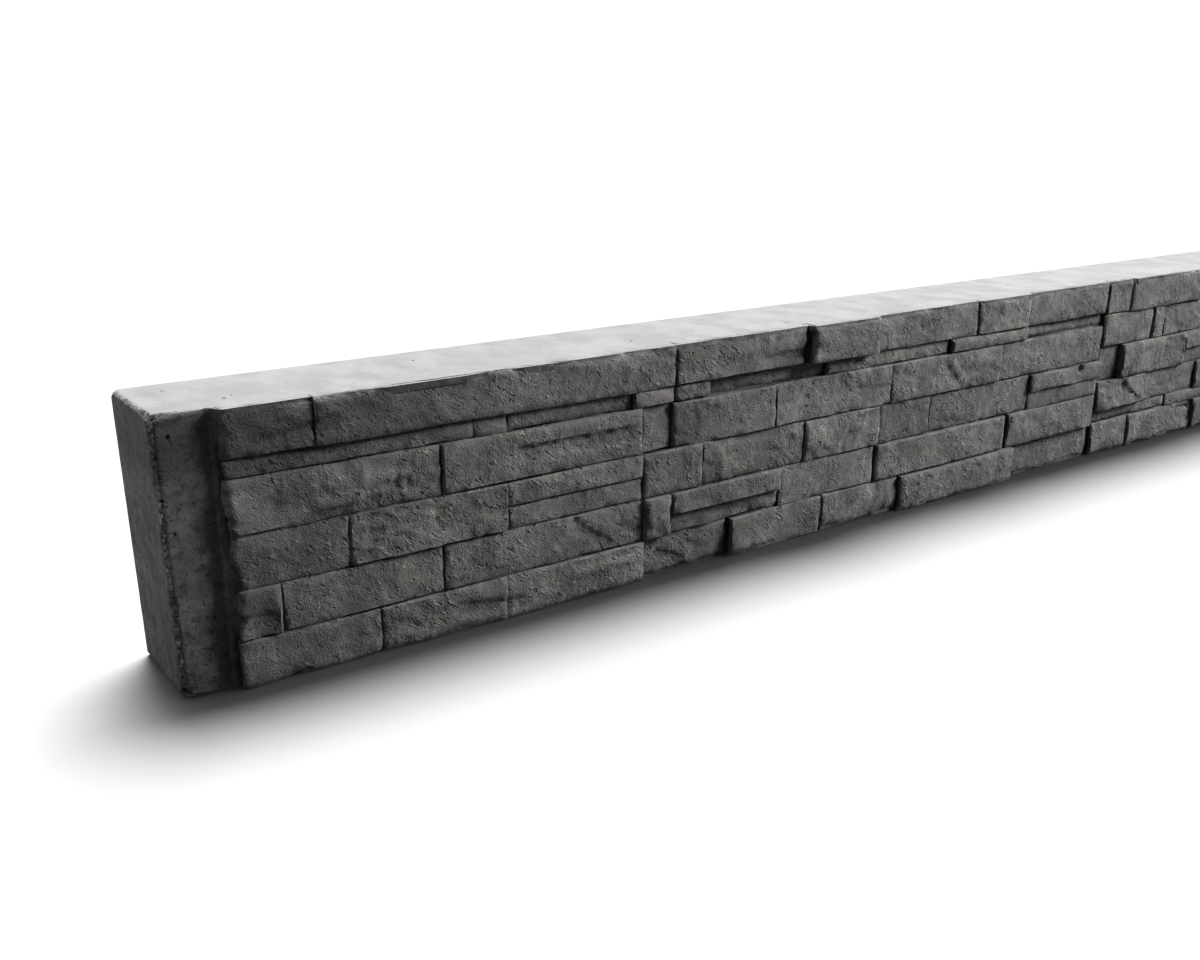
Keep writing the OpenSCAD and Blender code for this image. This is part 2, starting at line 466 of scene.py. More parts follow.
# %% A zone that visits each stone
tree = GeometryTree(
    "split_stones", Solid="Object", Spacing="Float", Foremost="Float", Back="Float", Seed="Int",
)
each = tree.nodes.nodes.new("GeometryNodeForeachGeometryElementInput")
done = tree.nodes.nodes.new("GeometryNodeForeachGeometryElementOutput")
each.pair_with_output(done)
done.domain = "POINT"
fields = {
    "Size": ("VECTOR", tree.named("size", "FLOAT_VECTOR")),
    "Centre": ("VECTOR", tree.here()),
    "Number": ("INT", tree.named("number", "INT")),
}
tree.plug(each.inputs["Geometry"], tree.given["Geometry"])
for title, (kind, field) in fields.items():
    done.input_items.new(kind, title)
    tree.plug(each.inputs[title], field)
print("the zone hands over", list(fields))

# %% Lines of points on a sheet
SPACING = 2.1 * MM
RIM = 0.9 * MM


def sheet_lines(tree, length, spacing):
    """How many lines of points cover a length"""
    lines = tree.plus(1, tree.math("ROUND", tree.math("DIVIDE", length, spacing)))
    return tree.math("MAXIMUM", 4, lines)


def drawn_out(tree, along, length, lines):
    """Moves the second line of points close to the border, which keeps the arris crisp"""
    gap = tree.math("DIVIDE", length, tree.minus(lines, 1))
    inside = tree.minus(tree.times(length, 0.5), tree.math("ABSOLUTE", along))
    second = tree.math("COMPARE", inside, gap, tree.times(gap, 0.5))
    inside = tree.plus(tree.times(second, RIM), tree.times(tree.minus(1, second), inside))
    along = tree.times(tree.math("SIGN", along), tree.minus(tree.times(length, 0.5), inside))
    return along, inside


print("a point every", round(SPACING / MM, 1), "mm, and a line", round(RIM / MM, 1), "mm inside the border")

# %% Lay the sheets
BORDER = 0.4 * MM

width, _, height = tree.parts(each.outputs["Size"])
across = sheet_lines(tree, width, tree.given["Spacing"])
up = sheet_lines(tree, height, tree.given["Spacing"])
sheet = tree.add("GeometryNodeMeshGrid", {0: width, 1: height, 2: across, 3: up}).outputs["Mesh"]
grid_x, grid_z, _ = tree.parts(tree.here())
local_x, beside = drawn_out(tree, grid_x, width, across)
local_z, above = drawn_out(tree, grid_z, height, up)
local = tree.xyz(local_x, 0, local_z)
centre_x, _, centre_z = tree.parts(each.outputs["Centre"])
centre = tree.xyz(centre_x, tree.given["Back"], centre_z)
full = tree.vector("ADD", each.outputs["Size"], (0, 1, 0))
inward = tree.vector("DIVIDE", tree.vector("SUBTRACT", full, (2 * BORDER, 0, 2 * BORDER)), full)
aim = tree.vector("ADD", tree.vector("MULTIPLY", local, inward), centre)
border_x = tree.times(tree.math("SIGN", local_x), tree.math("LESS_THAN", beside, RIM / 2))
border_z = tree.times(tree.math("SIGN", local_z), tree.math("LESS_THAN", above, RIM / 2))
sheet = tree.store(sheet, "outward", tree.xyz(border_x, 0, border_z), "FLOAT_VECTOR")
sheet = tree.store(sheet, "edge", tree.math("MINIMUM", beside, above))
sheet = tree.store(sheet, "number", each.outputs["Number"], "INT")
sheet = tree.store(sheet, "aim", aim, "FLOAT_VECTOR")
sheet = tree.place(sheet, tree.vector("ADD", local, centre))
tree.plug(done.inputs["Generation_0"], sheet)
print("each sheet knows its border, its stone's number and where its rays are aimed")

# %% Depth of the carved sheets
sheets = done.outputs[2]
number = tree.named("number", "INT")
start = tree.xyz(*(tree.chance(-9, 9, seed, number) for seed in (1, 2, 3)))
bold = tree.math("POWER", tree.chance(0.3, 1.0, tree.given["Seed"], number), 2.0)
place = tree.vector("ADD", tree.here(), start)
ahead = tree.vector("ADD", tree.named("aim", "FLOAT_VECTOR"), (0, -0.3, 0))
face, _ = tree.hit(tree.object(tree.given["Solid"]), ahead, (0, 1, 0))
worn = worn_edges(tree, place, tree.here(), tree.named("edge"))
relief = tree.minus(split_relief(tree, place, bold), worn)
relief = tree.plus(relief, single_marks(tree, tree.here()))
carved_y = tree.math("MAXIMUM", tree.given["Foremost"], tree.minus(tree.parts(face)[1], relief))
print("sheets follow the model, less the wear, and never pass its proudest stone")

# %% [markdown]
# ## Joints between the stones
# In the real wall the stones touch in some places and stand apart in others. The joints could be drawn one by
# one, but noise never repeats: it lets the borders of the sheets grow into the joints. Beside the tabs the
# ends of the stones are ragged. The sheets are then closed into solid stones.

# %% Width of the joints
TIGHT = 0.69 * MM
OPEN = 0.0

along = tree.math("ABSOLUTE", tree.parts(tree.here())[0])
beside_tab = tree.ramp(along, stone_stop - 24 * MM, stone_stop)
upright_joint = tree.ramp(tree.noise(tree.here(), 60 * MM, detail=3), 0.26, 0.4, OPEN, TIGHT)
lengthwise = tree.vector("MULTIPLY", tree.here(), (0.4, 1.0, 1.0))
level_joint = tree.ramp(tree.noise(lengthwise, 26 * MM, detail=4), 0.4, 0.6, OPEN, TIGHT)
level_joint = tree.math("MAXIMUM", level_joint, tree.times(beside_tab, TIGHT))
growth = tree.xyz(upright_joint, 0, level_joint)
growth = tree.vector("MULTIPLY", tree.named("outward", "FLOAT_VECTOR"), growth)
here_x, _, here_z = tree.parts(tree.vector("ADD", tree.here(), growth))
here_z = tree.math("MINIMUM", top_z, tree.math("MAXIMUM", 0.0, here_z))
ragged = tree.ramp(tree.noise(tree.here(), 20 * MM, detail=4), 0.4, 0.7, -3 * MM, 1 * MM)
ragged = tree.times(beside_tab, ragged)
here_x = tree.minus(here_x, tree.times(tree.math("SIGN", here_x), ragged))
print("a border grows into its joint by up to", round(TIGHT / MM, 2), "mm")

# %% Close the sheets into stones
ROOT = 6 * MM
STONE_FACES_KEPT = 0.355

shells = tree.closed(sheets, tree.xyz(here_x, carved_y, here_z))
tree.plug(tree.result, tree.store(shells, "stone", 1.0))
apply_tree(
    stone_faces, tree, Solid=plain_solid, Spacing=SPACING,
    Foremost=sleeper_low.y, Back=floor_y + ROOT, Seed=4,
)
thin(stone_faces, STONE_FACES_KEPT)
bake(stone_faces)

# %% [markdown]
# ## Bedding between the stones
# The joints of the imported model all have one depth. In the real casting the stones sit tight against each
# other in most places, and only some joints are deep and black. Filling each joint by hand would be slow,
# but a sheet behind the stones can rise into them: a ray from behind meets the rearmost of the stones
# around a point first, and the bedding stays a little behind that stone.

# %% Rectangles that stand for the stones
def plates(tree, beside, above):
    """A rectangle in front of each stone, larger than the stone by the margins"""
    square = tree.add("GeometryNodeMeshGrid", {0: 1.0, 1: 1.0, 2: 2, 3: 2}).outputs["Mesh"]
    upright = tree.moved(square, Rotation=(math.pi / 2, 0, 0))
    scale = tree.vector("ADD", tree.named("size", "FLOAT_VECTOR"), (2 * beside, 1, 2 * above))
    scale = tree.vector("MAXIMUM", scale, (MM / 10, 1, MM / 10))
    return tree.copies(tree.given["Geometry"], upright, Scale=scale)


print("rectangles for", len(stones), "stones")

# %% Sheet behind the stones
TAB_WIDTH = 38 * MM
step_foot = end_x - TAB_WIDTH

tree = GeometryTree(
    "bedding", Width="Float", Height="Float", Spacing="Float", Back="Float", Deepest="Float", Tab="Float",
)
columns = sheet_lines(tree, tree.given["Width"], tree.given["Spacing"])
rows = sheet_lines(tree, tree.given["Height"], tree.given["Spacing"])
inputs = {0: tree.given["Width"], 1: tree.given["Height"], 2: columns, 3: rows}
sheet = tree.add("GeometryNodeMeshGrid", inputs).outputs["Mesh"]
flat_x, flat_z, _ = tree.parts(tree.here())
sheet = tree.place(sheet, tree.xyz(flat_x, tree.given["Back"], tree.plus(flat_z, top_z / 2)))
print("sheet from step to step,", round(2 * step_foot / MM), "mm long")

# %% Depth of the bedding
REACH = 4 * MM
SLOT = 1.2 * MM
WITHIN = 6 * MM
BEHIND, COURSE_RISE = 3 * MM, 0.8 * MM
PATCH_DEPTH, WITHIN_DEPTH, GAP_DEPTH = 6 * MM, 8 * MM, 3 * MM
TOP_SHARE = 0.2

here_x, _, here_z = tree.parts(tree.here())
behind = tree.xyz(here_x, back_y, here_z)
rear, _ = tree.hit(plates(tree, REACH, REACH), behind, (0, -1, 0))
_, covered = tree.hit(plates(tree, SLOT, SLOT), behind, (0, -1, 0))
_, in_course = tree.hit(plates(tree, REACH, 0), behind, (0, -1, 0))
_, within = tree.hit(plates(tree, -WITHIN, -WITHIN), behind, (0, -1, 0))
patchy = tree.ramp(tree.noise(tree.here(), 50 * MM, detail=1), 0.45, 0.6)
depth = tree.plus(BEHIND, tree.times(in_course, -COURSE_RISE))
depth = tree.plus(tree.times(patchy, PATCH_DEPTH), depth)
uncovered = tree.times(tree.minus(1.0, covered), GAP_DEPTH)
depth = tree.plus(depth, tree.plus(tree.times(within, WITHIN_DEPTH), uncovered))
depth = tree.times(depth, tree.ramp(here_z, top_z - 10 * MM, top_z - 4 * MM, 1.0, TOP_SHARE))
level = tree.math("MINIMUM", tree.plus(tree.parts(rear)[1], depth), tree.given["Deepest"])
print("bedding from", round((BEHIND - COURSE_RISE) / MM, 1), "mm behind the rearmost stone")

# %% Bedding
STEP_SLOPE = 1.1
BEDDING_SPACING = 2.5 * MM
BEDDING_KEPT = 0.13

from_step = tree.minus(step_foot, tree.math("ABSOLUTE", here_x))
step = tree.minus(tree.given["Tab"], tree.times(from_step, STEP_SLOPE))
front = tree.xyz(here_x, tree.math("MAXIMUM", level, step), here_z)
tree.plug(tree.result, tree.closed(sheet, front))

bedding = new_piece("bedding", stone_mesh)
apply_tree(
    bedding, tree, Width=2 * step_foot, Height=top_z - 1 * MM, Spacing=BEDDING_SPACING,
    Back=floor_y + ROOT, Deepest=floor_y, Tab=tab_y,
)
thin(bedding, BEDDING_KEPT)
bake(bedding)

# %% [markdown]
# ## The cast body
# Tabs, ends, top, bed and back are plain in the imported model. A real casting has no straight edge: its
# arrises are rubbed and chipped. Bevels would stay regular, so a copy of the model is remeshed into small
# cells, and a tree wears it where its surface bends. A blurred normal is shorter near an edge, which finds
# the edges. The copy's own stones are cut away later, so they are pressed flat, and the thinning then spends
# its faces on the arrises.

# %% Where the body bends
tree = GeometryTree("worn_body", Flat="Float")
here_x, here_y, here_z = tree.parts(tree.here())
along = tree.math("ABSOLUTE", here_x)
normal = tree.add("GeometryNodeInputNormal").outputs[0]
blur = tree.add("GeometryNodeBlurAttribute", {"Value": normal, "Iterations": 4}, data_type="FLOAT_VECTOR")
outward = blur.outputs[0]
bend = tree.ramp(tree.vector("LENGTH", outward), 0.99, 0.8)
at_front = tree.ramp(here_y, tab_y + 30 * MM, tab_y + 10 * MM)
at_end = tree.ramp(along, end_x - 20 * MM, end_x - 4 * MM)
from_ends = tree.math("MINIMUM", here_z, tree.minus(top_z, here_z))
corner = tree.times(tree.times(at_front, at_end), tree.ramp(from_ends, 22 * MM, 2 * MM))
print("edges, ends and corners are found from normals and places")

# %% How far the body is worn
CHIP, CRUMB = 3 * MM, 1.4 * MM
CORNER_WEAR = (8 * MM, 3 * MM)
CRISP = 1.8 * MM

chips = tree.ramp(tree.noise(tree.here(), 11 * MM, detail=4), 0.46, 0.7)
crumbs = tree.noise(tree.here(), 4.5 * MM, detail=2)
wear = tree.plus(tree.times(chips, CHIP), tree.times(crumbs, CRUMB))
share = tree.times(at_end, tree.plus(0.3, tree.times(at_front, 0.7)))
wear = tree.times(wear, tree.plus(0.12, share))
wear = tree.plus(wear, tree.times(corner, tree.ramp(here_z, 0.0, top_z, *CORNER_WEAR)))
crisp = tree.times(at_front, tree.ramp(here_z, top_z - 8 * MM, top_z - 3 * MM))
wear = tree.minus(wear, tree.times(tree.times(crisp, tree.minus(1.0, at_end)), CRISP))
print("ends are worn most, and the top edge of a tab stays crisp")

# %% Wear the body
CELL = 2 * MM
END_LEAN = 3 * MM
FLAT_FRONT = 3 * MM
BODY_KEPT = 0.03

moved = tree.scaled(tree.vector("NORMALIZE", outward), tree.times(tree.times(bend, wear), -1.0))
lean = tree.times(at_end, tree.times(tree.minus(1.0, tree.math("DIVIDE", here_z, top_z)), END_LEAN))
lean = tree.times(tree.math("SIGN", here_x), tree.times(lean, -1.0))
moved = tree.vector("ADD", tree.vector("ADD", tree.here(), moved), tree.xyz(lean, 0, 0))
moved = tree.vector("MAXIMUM", moved, tree.xyz(-9, tree.given["Flat"], -9))
moved = tree.vector("MINIMUM", moved, (9, 9, top_z))
tree.plug(tree.result, tree.place(tree.given["Geometry"], moved))

body = new_piece("body", solid_mesh.copy())
cells = body.modifiers.new("cells", "REMESH")
cells.mode = "VOXEL"
cells.voxel_size = CELL
apply_tree(body, tree, Flat=floor_y - FLAT_FRONT)
thin(body, BODY_KEPT)
bake(body)

# %% [markdown]
# ## One casting
# The real object is one solid. Pieces that only overlap would leave hidden faces inside it, so they are
# joined by Booleans: the stones' place is cut free on the worn body, and body, bedding and stones become one
# closed skin.

# %% Join body, bedding and stones
tree = GeometryTree("one_casting", Stones="Object", Bedding="Object", Floor="Float")
box = tree.add("GeometryNodeMeshCube", {0: (4.0, 1.0, 1.0)}).outputs["Mesh"]
box = tree.moved(box, Translation=tree.xyz(0, tree.minus(tree.given["Floor"], 0.5), 0))
freed = tree.boolean("DIFFERENCE", tree.given["Geometry"], box)
others = (tree.object(tree.given["Bedding"]), tree.object(tree.given["Stones"]))
tree.plug(tree.result, tree.boolean("UNION", freed, *others))
apply_tree(body, tree, Stones=stone_faces, Bedding=bedding, Floor=floor_y)
bake(body)

# %% [markdown]
# ## Air holes
# Air trapped against the mould left small round holes, most of them along the arrises of the ends. Painted
# dots would stay flat, so points are scattered over the casting, most of them are dropped again where holes
# are rare, and a small ball is cut out at each of the others.

# %% Where air was trapped
tree = GeometryTree("air_holes", Density="Float", Largest="Float", Seed="Int", Surface="Material")
here_x, here_y, here_z = tree.parts(tree.here())
along = tree.math("ABSOLUTE", here_x)
near_end = tree.ramp(along, end_x - 14 * MM, end_x - 6 * MM)
near_front = tree.ramp(here_y, tab_y + 12 * MM, tab_y + 6 * MM)
near_back = tree.ramp(here_y, back_y - 12 * MM, back_y - 6 * MM)
near_top = tree.ramp(here_z, top_z - 12 * MM, top_z - 6 * MM)
near_bed = tree.ramp(here_z, 12 * MM, 6 * MM)
sides = tree.plus(tree.plus(near_front, near_back), tree.plus(near_top, near_bed))
arris = tree.times(near_end, sides)
plain = tree.ramp(here_y, floor_y - 1 * MM, floor_y)
spread = tree.plus(0.01, tree.ramp(along, end_x - 150 * MM, end_x - 30 * MM, 0.0, 0.06))
on_top = tree.ramp(here_z, top_z - 1 * MM, top_z - 0.2 * MM, 1.0, 3.0)
share = tree.times(plain, tree.plus(tree.times(spread, on_top), arris))
print("air holes gather along the arrises of the ends")

# %% Cut the air holes
HOLE_DISTANCE = 4 * MM
HOLE_DENSITY = 4000.0
LARGEST_HOLE = 1.9 * MM

inputs = {"Mesh": tree.given["Geometry"], "Distance Min": HOLE_DISTANCE, "Seed": tree.given["Seed"]}
inputs |= {"Density Max": tree.given["Density"]}
points = tree.add("GeometryNodeDistributePointsOnFaces", inputs, distribute_method="POISSON")
spare = tree.math("GREATER_THAN", tree.chance(0, 1, 6), share)
inputs = {0: points.outputs["Points"], "Selection": spare}
points = tree.add("GeometryNodeDeleteGeometry", inputs, domain="POINT").outputs[0]
radius = tree.times(tree.math("POWER", tree.chance(0.45, 1.0, 7), 2.5), tree.given["Largest"])
deep, high = (tree.times(radius, tree.chance(0.6, 1.0, seed)) for seed in (8, 9))
turn = tree.xyz(*(tree.chance(0, 6, seed) for seed in (10, 11, 12)))
ball = tree.add("GeometryNodeMeshIcoSphere", {"Radius": 1.0, "Subdivisions": 2}).outputs["Mesh"]
balls = tree.copies(points, ball, Scale=tree.xyz(radius, deep, high), Rotation=turn)
pierced = tree.boolean("DIFFERENCE", tree.given["Geometry"], balls)
tree.plug(tree.result, tree.add("GeometryNodeSetMaterial", {0: pierced, "Material": tree.given["Surface"]}))

concrete = bpy.data.materials.new("charcoal_concrete")
apply_tree(body, tree, Density=HOLE_DENSITY, Largest=LARGEST_HOLE, Seed=3, Surface=concrete)
mesh = bake(body)

# %% Finish the casting's mesh
mesh.shade_smooth()
mesh.set_sharp_from_angle(angle=math.radians(45))
body.name = "sleeper_casting"
for helper in (plain_solid, stone_faces, bedding):
    bpy.data.objects.remove(helper)
print(body.name, "is smooth, with sharp arrises")

# %% [markdown]
# ## The concrete
# The pigment makes the concrete charcoal, but no two stones have quite the same colour: the release oil and
# the weather left some of them reddish and some olive. The split faces are full of pits and pale grains, and
# the tabs are smooth and blotched. The pits are darkened as painted shade, and the colour is lighter where the
# relief stands up, partly pale grain and partly painted highlight. Photographs of concrete could be laid over
# the mesh, but they would stretch over the stones' sides. So all of this is noise on Object coordinates, which
# stays on the casting from every side.

# %% Material and what it reads
def blend(tree, factor, first, second):
    return tree.add("ShaderNodeMix", {0: factor, 6: first, 7: second}, data_type="RGBA").outputs[2]


concrete.use_nodes = True
tree = Tree(concrete.node_tree)
surface = concrete.node_tree.nodes["Principled BSDF"]
where = tree.add("ShaderNodeTexCoord").outputs["Object"]
is_stone = tree.add("ShaderNodeAttribute", attribute_name="stone").outputs["Fac"]
is_front = tree.add("ShaderNodeAttribute", attribute_name="front").outputs["Fac"]
number = tree.add("ShaderNodeAttribute", attribute_name="number").outputs["Fac"]
print("material", concrete.name)

# %% Split stone
REDDISH = (0.079, 0.073, 0.0785, 1)
OLIVE = (0.0735, 0.0762, 0.0698, 1)


def stone_skin(tree, where, number):
    """Colour of the split faces, and height of their grain in metres"""
    own = tree.add("ShaderNodeTexWhiteNoise", {"W": number}, noise_dimensions="1D").outputs["Value"]
    downhill = tree.vector("DOT_PRODUCT", where, (0.4, 0.0, -0.3))
    uphill = tree.vector("DOT_PRODUCT", where, (0.6, 0.0, 0.8))
    slanted = tree.xyz(downhill, tree.parts(where)[1], uphill)
    rough = tree.ramp(tree.noise(where, 30 * MM, detail=3), 0.4, 0.62, 0.25, 1.1)
    flakes = tree.noise(where, 7 * MM, detail=5, roughness=0.62, distortion=0.3)
    dents = tree.ramp(tree.noise(tree.vector("ADD", slanted, (5, 2, 1)), 3.6 * MM, detail=1), 0.63, 0.71)
    dents = tree.times(dents, rough)
    flecks = tree.ramp(tree.noise(tree.vector("ADD", slanted, (1, 7, 3)), 3.6 * MM, detail=1), 0.63, 0.71)
    flecks = tree.times(flecks, rough)
    grain = tree.noise(where, 1.5 * MM, detail=2, roughness=0.6)
    patches = tree.ramp(tree.noise(where, 20 * MM, detail=4), 0.36, 0.64, 0.82, 1.16)
    stains = tree.ramp(tree.noise(where, 70 * MM, detail=4), 0.35, 0.65, 0.82, 1.12)
    hues = tree.noise(tree.vector("ADD", where, (3, 1, 2)), 34 * MM, detail=3)
    colour = blend(tree, tree.ramp(hues, 0.38, 0.62), REDDISH, OLIVE)
    level = tree.times(tree.times(stains, patches), tree.plus(0.9, tree.times(own, 0.2)))
    # Painted light and shade: the colour is lighter where the flakes, grain and flecks stand up, and darker in
    # the dents. The flecks are partly pale grain.
    level = tree.times(level, tree.ramp(flakes, 0.34, 0.66, 0.84, 1.16))
    level = tree.times(level, tree.ramp(grain, 0.36, 0.64, 0.88, 1.12))
    level = tree.times(level, tree.plus(1.0, tree.times(flecks, 0.4)))
    level = tree.lowered(level, dents, 0.6)
    height = tree.plus(tree.times(tree.times(flakes, rough), 1.8 * MM), tree.times(grain, 0.7 * MM))
    height = tree.plus(height, tree.times(flecks, 0.5 * MM))
    return tree.scaled(colour, level), tree.minus(height, tree.times(dents, 0.9 * MM))


stone_colour, stone_height = stone_skin(tree, where, number)
print("split stone: flakes, dents, flecks, grain and stains")

# %% [markdown]
# ## The cast skin
# Tabs, ends, bed and back were cast against plain sides of the mould. They are smooth but blotched, and the
# arrises of the ends are worn down to pale crumbs. The lights leave these rounded arrises darker than the
# faces beside them, so their colour is lifted further as painted light. The crumbs could be painted along each
# arris, but the distance from the faces that meet there finds all of the arrises at once, so it is the mask.

# %% Worn arrises of the ends
def worn_arris(tree, where):
    """One where an arris of an end is worn, and the distance of a point from the leaning end face"""
    x, y, z = tree.parts(where)
    beside = tree.math("MINIMUM", tree.minus(y, tab_y), tree.minus(back_y, y))
    beside = tree.math("MINIMUM", beside, tree.math("MINIMUM", z, tree.minus(top_z, z)))
    lean = tree.times(tree.minus(1.0, tree.math("DIVIDE", z, top_z)), END_LEAN)
    from_end = tree.minus(tree.minus(end_x, tree.math("ABSOLUTE", x)), lean)
    near = tree.times(tree.ramp(from_end, 14 * MM, 9 * MM), tree.ramp(beside, 14 * MM, 9 * MM))
    worn = tree.ramp(tree.math("MINIMUM", beside, from_end), 0.1 * MM, 0.8 * MM)
    return tree.times(worn, near), from_end


arris, from_end_face = worn_arris(tree, where)
print("worn arrises lie behind both of the faces that meet there")

# %% Cast skin
CAST = (0.072, 0.0665, 0.073)


def cast_skin(tree, where, arris, from_end_face):
    """Colour of the tabs, ends, bed and back, and height of their grain in metres"""
    patch = tree.ramp(tree.noise(where, 45 * MM, detail=2), 0.4, 0.6, 0.2, 0.4)
    blotch = tree.ramp(tree.noise(where, 14 * MM, detail=5, roughness=0.65), 0.44, 0.6, -0.12, 1.0)
    spots = tree.ramp(tree.noise(tree.vector("ADD", where, (2, 5, 4)), 7 * MM, detail=3), 0.56, 0.64)
    cloud = tree.ramp(tree.noise(where, 110 * MM, detail=3), 0.35, 0.65, 0.9, 1.12)
    dots = tree.ramp(tree.noise(where, 3.6 * MM, detail=1), 0.65, 0.73)
    sand = tree.noise(where, 1.5 * MM, detail=2, roughness=0.6)
    crumbs = tree.ramp(tree.noise(where, 3.4 * MM, detail=4, roughness=0.65), 0.38, 0.6, 0.4, 2.9)
    drawn = tree.vector("MULTIPLY", where, (1.0, 1.0, 0.35))
    drawn = tree.ramp(tree.noise(drawn, 11 * MM, detail=4, roughness=0.6), 0.36, 0.64, -0.22, 0.22)
    at_end = tree.ramp(from_end_face, 4 * MM, 1 * MM)
    lumps = tree.noise(where, 9 * MM, detail=4, roughness=0.6)
    level = tree.lowered(tree.lowered(cloud, blotch, patch), spots, 0.5)
    # Painted light and shade: the colour is lighter on the sand and lumps that stand up, and darker in the
    # sunken dots.
    level = tree.lowered(tree.times(level, tree.ramp(sand, 0.4, 0.75, 0.92, 1.3)), dots, 0.5)
    # Pale crumbs on the worn arrises, with their colour lifted further as painted light.
    level = tree.times(level, tree.plus(1.0, tree.times(arris, tree.minus(crumbs, 0.8))))
    level = tree.times(level, tree.plus(1.0, tree.times(at_end, drawn)))
    level = tree.times(level, tree.ramp(lumps, 0.36, 0.64, 0.86, 1.14))
    height = tree.minus(tree.times(sand, 0.3 * MM), tree.times(dots, 0.5 * MM))
    height = tree.plus(height, tree.times(lumps, 0.8 * MM))
    height = tree.plus(height, tree.times(tree.times(arris, crumbs), 0.8 * MM))
    return tree.scaled(CAST, level), height


cast_colour, cast_height = cast_skin(tree, where, arris, from_end_face)
print("cast skin: blotches, spots, clouds, dots, sand and crumbs")

# %% [markdown]
# ## The top
# The top is paler than the rest, with cloudy streaks and a few dark specks. A second material on its faces
# would end in a hard edge. So the normal and the height of a point say how much of it is top, and the two
# colours blend.

# %% Pale top
TOP_DARK = (0.077, 0.078, 0.08, 1)
TOP_PALE = (0.097, 0.098, 0.099, 1)

along_x, front_y, up_z = tree.parts(where)
settings = {"vector_type": "NORMAL", "convert_from": "WORLD", "convert_to": "OBJECT"}
turned = tree.add("ShaderNodeVectorTransform", **settings)
tree.plug(turned.inputs[0], tree.add("ShaderNodeNewGeometry").outputs["True Normal"])
upward = tree.parts(turned.outputs[0])[2]
is_top = tree.times(tree.ramp(upward, 0.7, 0.95), tree.ramp(up_z, top_z - 4 * MM, top_z - 1 * MM))
streaks = tree.vector("MULTIPLY", where, (1.0, 0.6, 1.0))
streaks = tree.noise(streaks, 24 * MM, detail=5, roughness=0.6)
specks = tree.ramp(tree.noise(where, 4 * MM, detail=3), 0.62, 0.72)
top_colour = blend(tree, tree.ramp(streaks, 0.35, 0.65), TOP_DARK, TOP_PALE)
top_colour = tree.scaled(top_colour, tree.lowered(1.0, specks, 0.24))
print("top between", TOP_DARK[0], "and", TOP_PALE[0], "with dark specks")

# %% [markdown]
# ## Dark joints and painted shade near the ends
# Some joints are nearly black, the top course and the lower part are darker towards the ends, and a dark line
# follows each step down to a tab. Shade from the lights alone comes out too even, so one level, made of masks
# by place, darkens the colour. It is painted shade, which in the joints and along the steps also stands for
# dirt.

# %% Dark joints
below_top = tree.ramp(up_z, top_z - 3 * MM, top_z - 6 * MM)
is_side = tree.times(is_stone, tree.ramp(is_front, 0.92, 0.65))
is_side = tree.times(is_side, tree.ramp(front_y, tab_y - 13 * MM, tab_y - 8 * MM))
is_bedding = tree.minus(1.0, is_stone)
is_bedding = tree.times(is_bedding, tree.ramp(front_y, tab_y - 0.5 * MM, tab_y - 4 * MM))
# Painted shade and dirt: the stones' sides and the bedding deep in the joints are darkened.
in_joint = tree.times(tree.plus(is_side, is_bedding), below_top)
deep = tree.ramp(tree.noise(where, 50 * MM, detail=1), 0.44, 0.6, 0.05, 0.8)
dark = tree.lowered(1.0, in_joint, deep)
print("joints keep between a fifth and nearly all of their light")

# %% Painted shade near the ends and along the steps
STEP_RUN = 6 * MM

from_end = tree.minus(end_x, tree.math("ABSOLUTE", along_x))
# Painted shade: the top course is darker towards the ends.
painted_shade = tree.plus(from_end, tree.stray(where, 60 * MM, 160 * MM))
painted_shade = tree.times(tree.ramp(painted_shade, 320 * MM, 80 * MM), tree.ramp(up_z, 0.72 * top_z, 0.84 * top_z))
# Painted shade: the lower part is darker towards the ends.
low = tree.times(tree.ramp(from_end, 400 * MM, 100 * MM), tree.ramp(up_z, 0.4 * top_z, 0.2 * top_z))
step_top = TAB_WIDTH + STEP_RUN
beyond = tree.plus(from_end, tree.stray(where, 16 * MM, 10 * MM, detail=4))
# Painted shade, with some dirt, in a dark line along each step down to a tab.
by_step = tree.ramp(from_end, TAB_WIDTH - 1 * MM, TAB_WIDTH + 3 * MM)
by_step = tree.times(by_step, tree.ramp(beyond, step_top + 3 * MM, step_top - 1 * MM))
by_step = tree.times(by_step, tree.ramp(front_y, tab_y + 8 * MM, tab_y + 4 * MM))
dark = tree.lowered(tree.lowered(tree.lowered(dark, painted_shade, 0.48), low, 0.14), by_step, 0.5)
print("damp near the ends, and dark along the steps", round(step_top / MM), "mm from them")

# %% Mix the concrete
ROUGHNESS = 0.92
SHEEN = 0.25

colour = tree.scaled(blend(tree, is_stone, cast_colour, stone_colour), dark)
colour = blend(tree, is_top, colour, top_colour)
height = tree.times(tree.minus(1.0, is_stone), cast_height)
height = tree.lowered(tree.plus(tree.times(is_stone, stone_height), height), is_top, 0.8)
bump = tree.add("ShaderNodeBump", {"Strength": 1.0, "Distance": 1.0, "Height": height})
tree.plug(surface.inputs["Base Color"], colour)
tree.plug(surface.inputs["Normal"], bump)
surface.inputs["Roughness"].default_value = ROUGHNESS
surface.inputs["Specular IOR Level"].default_value = SHEEN
print("concrete nodes", len(concrete.node_tree.nodes))

# %% [markdown]
# ## Floor and light
# The sleeper is lit from above and behind, so its top is bright and its stone face is in soft shade, with a
# dark shadow at its foot. One large light could do that, but then every change would move all the tones. So
# a wide sun makes the top and the shadow, a lamp from the right draws the relief, and a small one lifts the
# near end. The lamps light only the casting, and the floor throws no light back on it.

# %% Floor
FLOOR_HALF = 60.0
FLOOR_GREY = (0.24, 0.24, 0.24, 1)

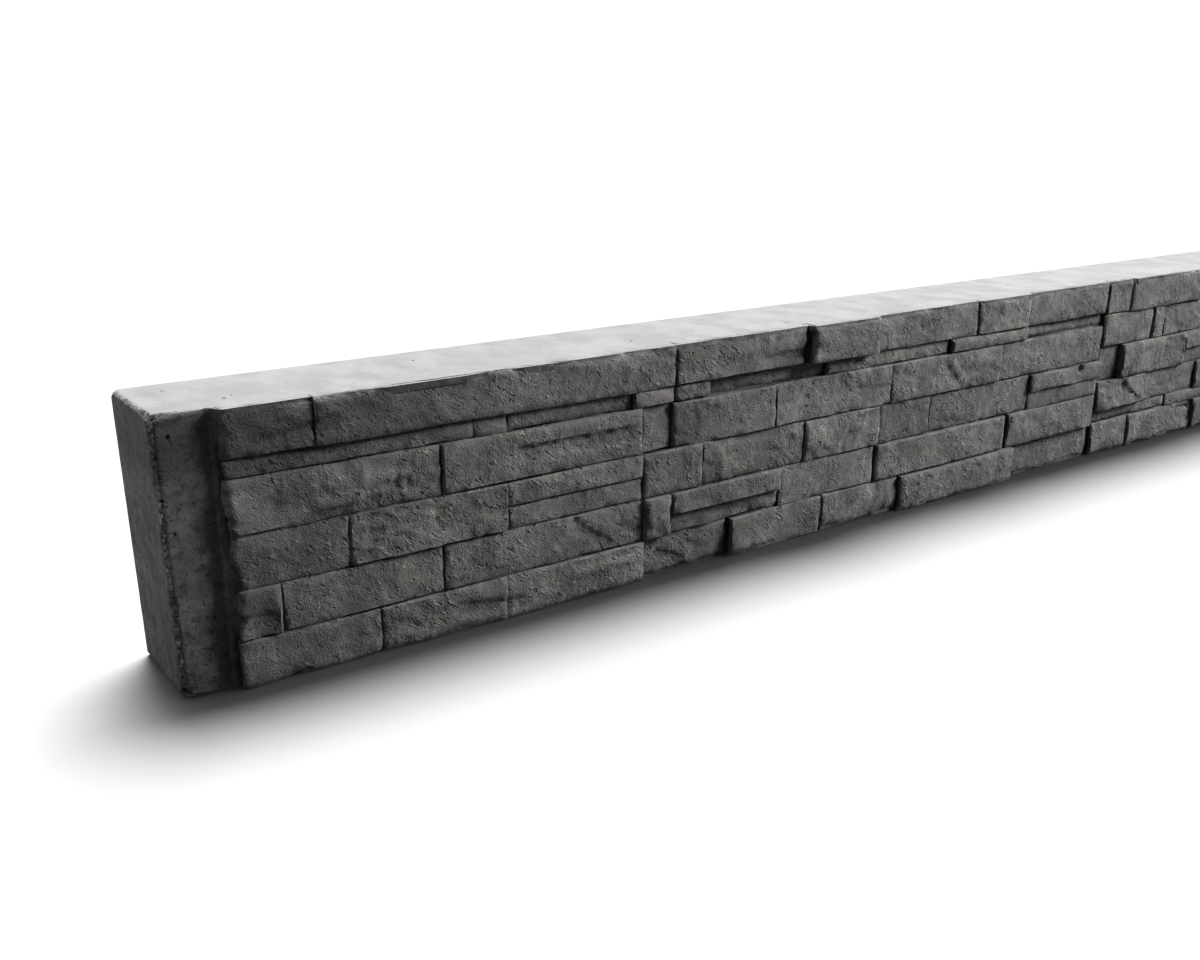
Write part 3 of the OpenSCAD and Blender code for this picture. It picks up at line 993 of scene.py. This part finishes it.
floor_mesh = bpy.data.meshes.new("floor")
corners = [(x * FLOOR_HALF, y * FLOOR_HALF, 0) for x, y in ((-1, -1), (1, -1), (1, 1), (-1, 1))]
floor_mesh.from_pydata(corners, [], [(0, 1, 2, 3)])
floor = new_piece("floor", floor_mesh)
pale = bpy.data.materials.new("pale_floor")
pale.use_nodes = True
pale_surface = pale.node_tree.nodes["Principled BSDF"]
pale_surface.inputs["Base Color"].default_value = FLOOR_GREY
pale_surface.inputs["Roughness"].default_value = 1.0
pale_surface.inputs["Specular IOR Level"].default_value = 0.0
floor_mesh.materials.append(pale)
floor.visible_diffuse = False
print("floor", 2 * FLOOR_HALF, "m wide, which throws no light back on the sleeper")

# %% Lights
def lamp(name, kind, place, direction, **settings):
    light = bpy.data.lights.new(name, kind)
    for key, value in settings.items():
        setattr(light, key, value)
    holder = bpy.data.objects.new(name, light)
    bpy.context.collection.objects.link(holder)
    holder.location = place
    holder.rotation_euler = Vector(direction).to_track_quat("-Z", "Y").to_euler()
    return holder


lamp("overhead", "SUN", (0, 0, 0), (-0.27, -0.32, -1.0), energy=14.0, angle=math.radians(30))
side = lamp(
    "from_the_right", "AREA", (1.3, -0.9, 1.3), (-1.75, 0.85, -1.2),
    energy=21.5, size=0.9, spread=math.radians(65),
)
end_lamp = lamp(
    "from_the_left", "AREA", (-1.25, -0.07, 0.6), (0.25, 0.05, -0.45),
    energy=2.4, size=0.2,
)
lit_pieces = bpy.data.collections.new("lit_by_lamps")
lit_pieces.objects.link(body)
for holder in (side, end_lamp):
    holder.light_linking.receiver_collection = lit_pieces
print("lights", [light.name for light in bpy.data.lights])

# %% Bright surroundings behind the sleeper
BRIGHT_SIDE = (0.64, 0.77, 0.0)
DIMMEST, BRIGHTEST = 0.05, 1.05

world = bpy.data.worlds.new("studio")
world.use_nodes = True
bpy.context.scene.world = world
tree = Tree(world.node_tree)
direction = tree.add("ShaderNodeTexCoord").outputs["Generated"]
facing = tree.vector("DOT_PRODUCT", direction, BRIGHT_SIDE)
background = world.node_tree.nodes["Background"]
background.inputs["Color"].default_value = (1, 1, 1, 1)
tree.plug(background.inputs["Strength"], tree.ramp(facing, -0.5, 0.5, DIMMEST, BRIGHTEST))
bpy.context.scene.view_settings.view_transform = "Standard"
print("surroundings from", DIMMEST, "in front to", BRIGHTEST, "behind")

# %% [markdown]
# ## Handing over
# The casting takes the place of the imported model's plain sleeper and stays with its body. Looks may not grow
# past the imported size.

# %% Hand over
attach(body, "root")
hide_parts("sleeper")
